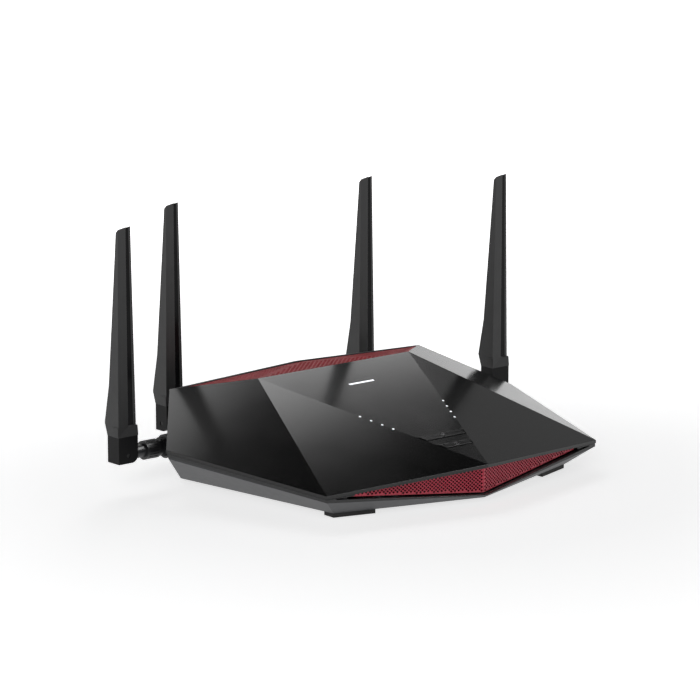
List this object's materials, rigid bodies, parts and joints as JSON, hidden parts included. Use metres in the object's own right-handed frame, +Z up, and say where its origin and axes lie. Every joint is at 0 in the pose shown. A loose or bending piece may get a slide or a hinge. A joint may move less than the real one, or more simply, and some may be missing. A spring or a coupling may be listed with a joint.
{
  "type": "wireless router",
  "caption": "Low faceted wireless router with a red mesh front, rear ports and upright blade antennas on swivelling, folding mounts.",
  "frame": {"origin": "middle of the whole object's box, on the surface it stands on", "axes": "+Z up, front mesh facing -Y, ports facing +Y"},
  "size_m": [0.3237, 0.222, 0.1661],
  "materials": {
    "cover_black": "satin black with a slight speckle",
    "trim_black": "satin black",
    "tray_grey": "fine textured dark grey",
    "foot_rubber": "matte",
    "mesh_red": "red metallic paint",
    "mesh_rose": "red metallic paint, pale where it catches the light",
    "jack_yellow": "satin",
    "jack_blue": "satin",
    "usb_steel": "plated",
    "board_green": "solder mask",
    "can_steel": "tinned",
    "chip_black": "moulded",
    "pad_grey": "soft",
    "sink_alu": "anodised",
    "cap_steel": "sleeved",
    "screw_steel": "plated",
    "light_clear": "frosted",
    "lamp_white": "clear resin",
    "switch_black": "moulded",
    "socket_black": "black plated",
    "base_black": "satin",
    "lead_black": "smooth",
    "button_black": "satin",
    "nut_black": "knurled",
    "stem_black": "satin",
    "antenna_black": "fine textured",
    "pin_steel": "dark",
    "strip_gloss": "high gloss",
    "copper": "bare"
  },
  "bodies": {
    "housing": {"top_cover": "cover_black", "trim_frame": "trim_black", "bottom_tray": "tray_grey", "rubber_feet": "foot_rubber", "front_grille": "mesh_red", "rear_grille": "mesh_rose", "port_panel": "trim_black", "lan_jacks": "jack_yellow", "wan_jack": "jack_blue", "usb_sockets": "usb_steel", "dc_inlet": "trim_black", "main_board": "board_green", "shield_cans": "can_steel", "chips": "chip_black", "thermal_pad": "pad_grey", "heatsink": "sink_alu", "power_parts": "cap_steel", "board_screws": "screw_steel", "case_screws": "screw_steel", "light_board": "board_green", "light_guide_left": "light_clear", "light_guide_right": "light_clear", "light_bar": "light_clear", "lamps": "lamp_white", "switches": "switch_black", "antenna_sockets": "socket_black", "coax_leads": "lead_black"},
    "side_left_nut": {"side_left_nut": "nut_black"},
    "side_left_stem": {"side_left_stem": "stem_black"},
    "side_left_mast": {"side_left_base": "base_black", "side_left_pin": "pin_steel", "side_left_blade": "antenna_black", "side_left_strip": "strip_gloss", "side_left_radiator": "copper"},
    "rear_left_nut": {"rear_left_nut": "nut_black"},
    "rear_left_stem": {"rear_left_stem": "stem_black"},
    "rear_left_mast": {"rear_left_base": "base_black", "rear_left_pin": "pin_steel", "rear_left_blade": "antenna_black", "rear_left_strip": "strip_gloss", "rear_left_radiator": "copper"},
    "rear_right_nut": {"rear_right_nut": "nut_black"},
    "rear_right_stem": {"rear_right_stem": "stem_black"},
    "rear_right_mast": {"rear_right_base": "base_black", "rear_right_pin": "pin_steel", "rear_right_blade": "antenna_black", "rear_right_strip": "strip_gloss", "rear_right_radiator": "copper"},
    "side_right_nut": {"side_right_nut": "nut_black"},
    "side_right_stem": {"side_right_stem": "stem_black"},
    "side_right_mast": {"side_right_base": "base_black", "side_right_pin": "pin_steel", "side_right_blade": "antenna_black", "side_right_strip": "strip_gloss", "side_right_radiator": "copper"},
    "wifi_button": {"wifi_button": "button_black"},
    "wps_button": {"wps_button": "button_black"},
    "power_button": {"power_button": "button_black"},
    "reset_button": {"reset_button": "button_black"}
  },
  "joints": [
    {"name": "side_left_nut_spin", "type": "hinge", "parent": "housing", "child": "side_left_nut", "pos_m": [-0.1542, 0.05251, 0.024], "axis": [1, 0, 0], "continuous": true},
    {"name": "side_left_swivel", "type": "hinge", "parent": "housing", "child": "side_left_stem", "pos_m": [-0.1542, 0.05251, 0.024], "axis": [1, 0, 0], "range_deg": [-90, 90]},
    {"name": "side_left_fold", "type": "hinge", "parent": "side_left_stem", "child": "side_left_mast", "pos_m": [-0.1542, 0.05251, 0.024], "axis": [0, -1, 0], "range_deg": [0, 90]},
    {"name": "rear_left_nut_spin", "type": "hinge", "parent": "housing", "child": "rear_left_nut", "pos_m": [-0.0801, 0.1025, 0.024], "axis": [0, -1, 0], "continuous": true},
    {"name": "rear_left_swivel", "type": "hinge", "parent": "housing", "child": "rear_left_stem", "pos_m": [-0.0801, 0.1025, 0.024], "axis": [0, -1, 0], "range_deg": [-30, 45]},
    {"name": "rear_left_fold", "type": "hinge", "parent": "rear_left_stem", "child": "rear_left_mast", "pos_m": [-0.0801, 0.1025, 0.024], "axis": [-1, 0, 0], "range_deg": [0, 90]},
    {"name": "rear_right_nut_spin", "type": "hinge", "parent": "housing", "child": "rear_right_nut", "pos_m": [0.0801, 0.1025, 0.024], "axis": [0, 1, 0], "continuous": true},
    {"name": "rear_right_swivel", "type": "hinge", "parent": "housing", "child": "rear_right_stem", "pos_m": [0.0801, 0.1025, 0.024], "axis": [0, 1, 0], "range_deg": [-30, 45]},
    {"name": "rear_right_fold", "type": "hinge", "parent": "rear_right_stem", "child": "rear_right_mast", "pos_m": [0.0801, 0.1025, 0.024], "axis": [-1, 0, 0], "range_deg": [0, 90]},
    {"name": "side_right_nut_spin", "type": "hinge", "parent": "housing", "child": "side_right_nut", "pos_m": [0.1542, 0.05251, 0.024], "axis": [1, 0, 0], "continuous": true},
    {"name": "side_right_swivel", "type": "hinge", "parent": "housing", "child": "side_right_stem", "pos_m": [0.1542, 0.05251, 0.024], "axis": [1, 0, 0], "range_deg": [-90, 90]},
    {"name": "side_right_fold", "type": "hinge", "parent": "side_right_stem", "child": "side_right_mast", "pos_m": [0.1542, 0.05251, 0.024], "axis": [0, 1, 0], "range_deg": [0, 90]},
    {"name": "wifi_press", "type": "slide", "parent": "housing", "child": "wifi_button", "axis": [0, 0, -1], "range_m": [0, 0.0006], "stiffness_N_per_m": 1500, "springref_m": -0.0003},
    {"name": "wps_press", "type": "slide", "parent": "housing", "child": "wps_button", "axis": [0, 0, -1], "range_m": [0, 0.0006], "stiffness_N_per_m": 1500, "springref_m": -0.0003},
    {"name": "power_press", "type": "slide", "parent": "housing", "child": "power_button", "axis": [0, -1, 0], "range_m": [0, 0.0006], "stiffness_N_per_m": 1500, "springref_m": -0.0003},
    {"name": "reset_press", "type": "slide", "parent": "housing", "child": "reset_button", "axis": [0, -1, 0], "range_m": [0, 0.0006], "stiffness_N_per_m": 1500, "springref_m": -0.0003}
  ]
}
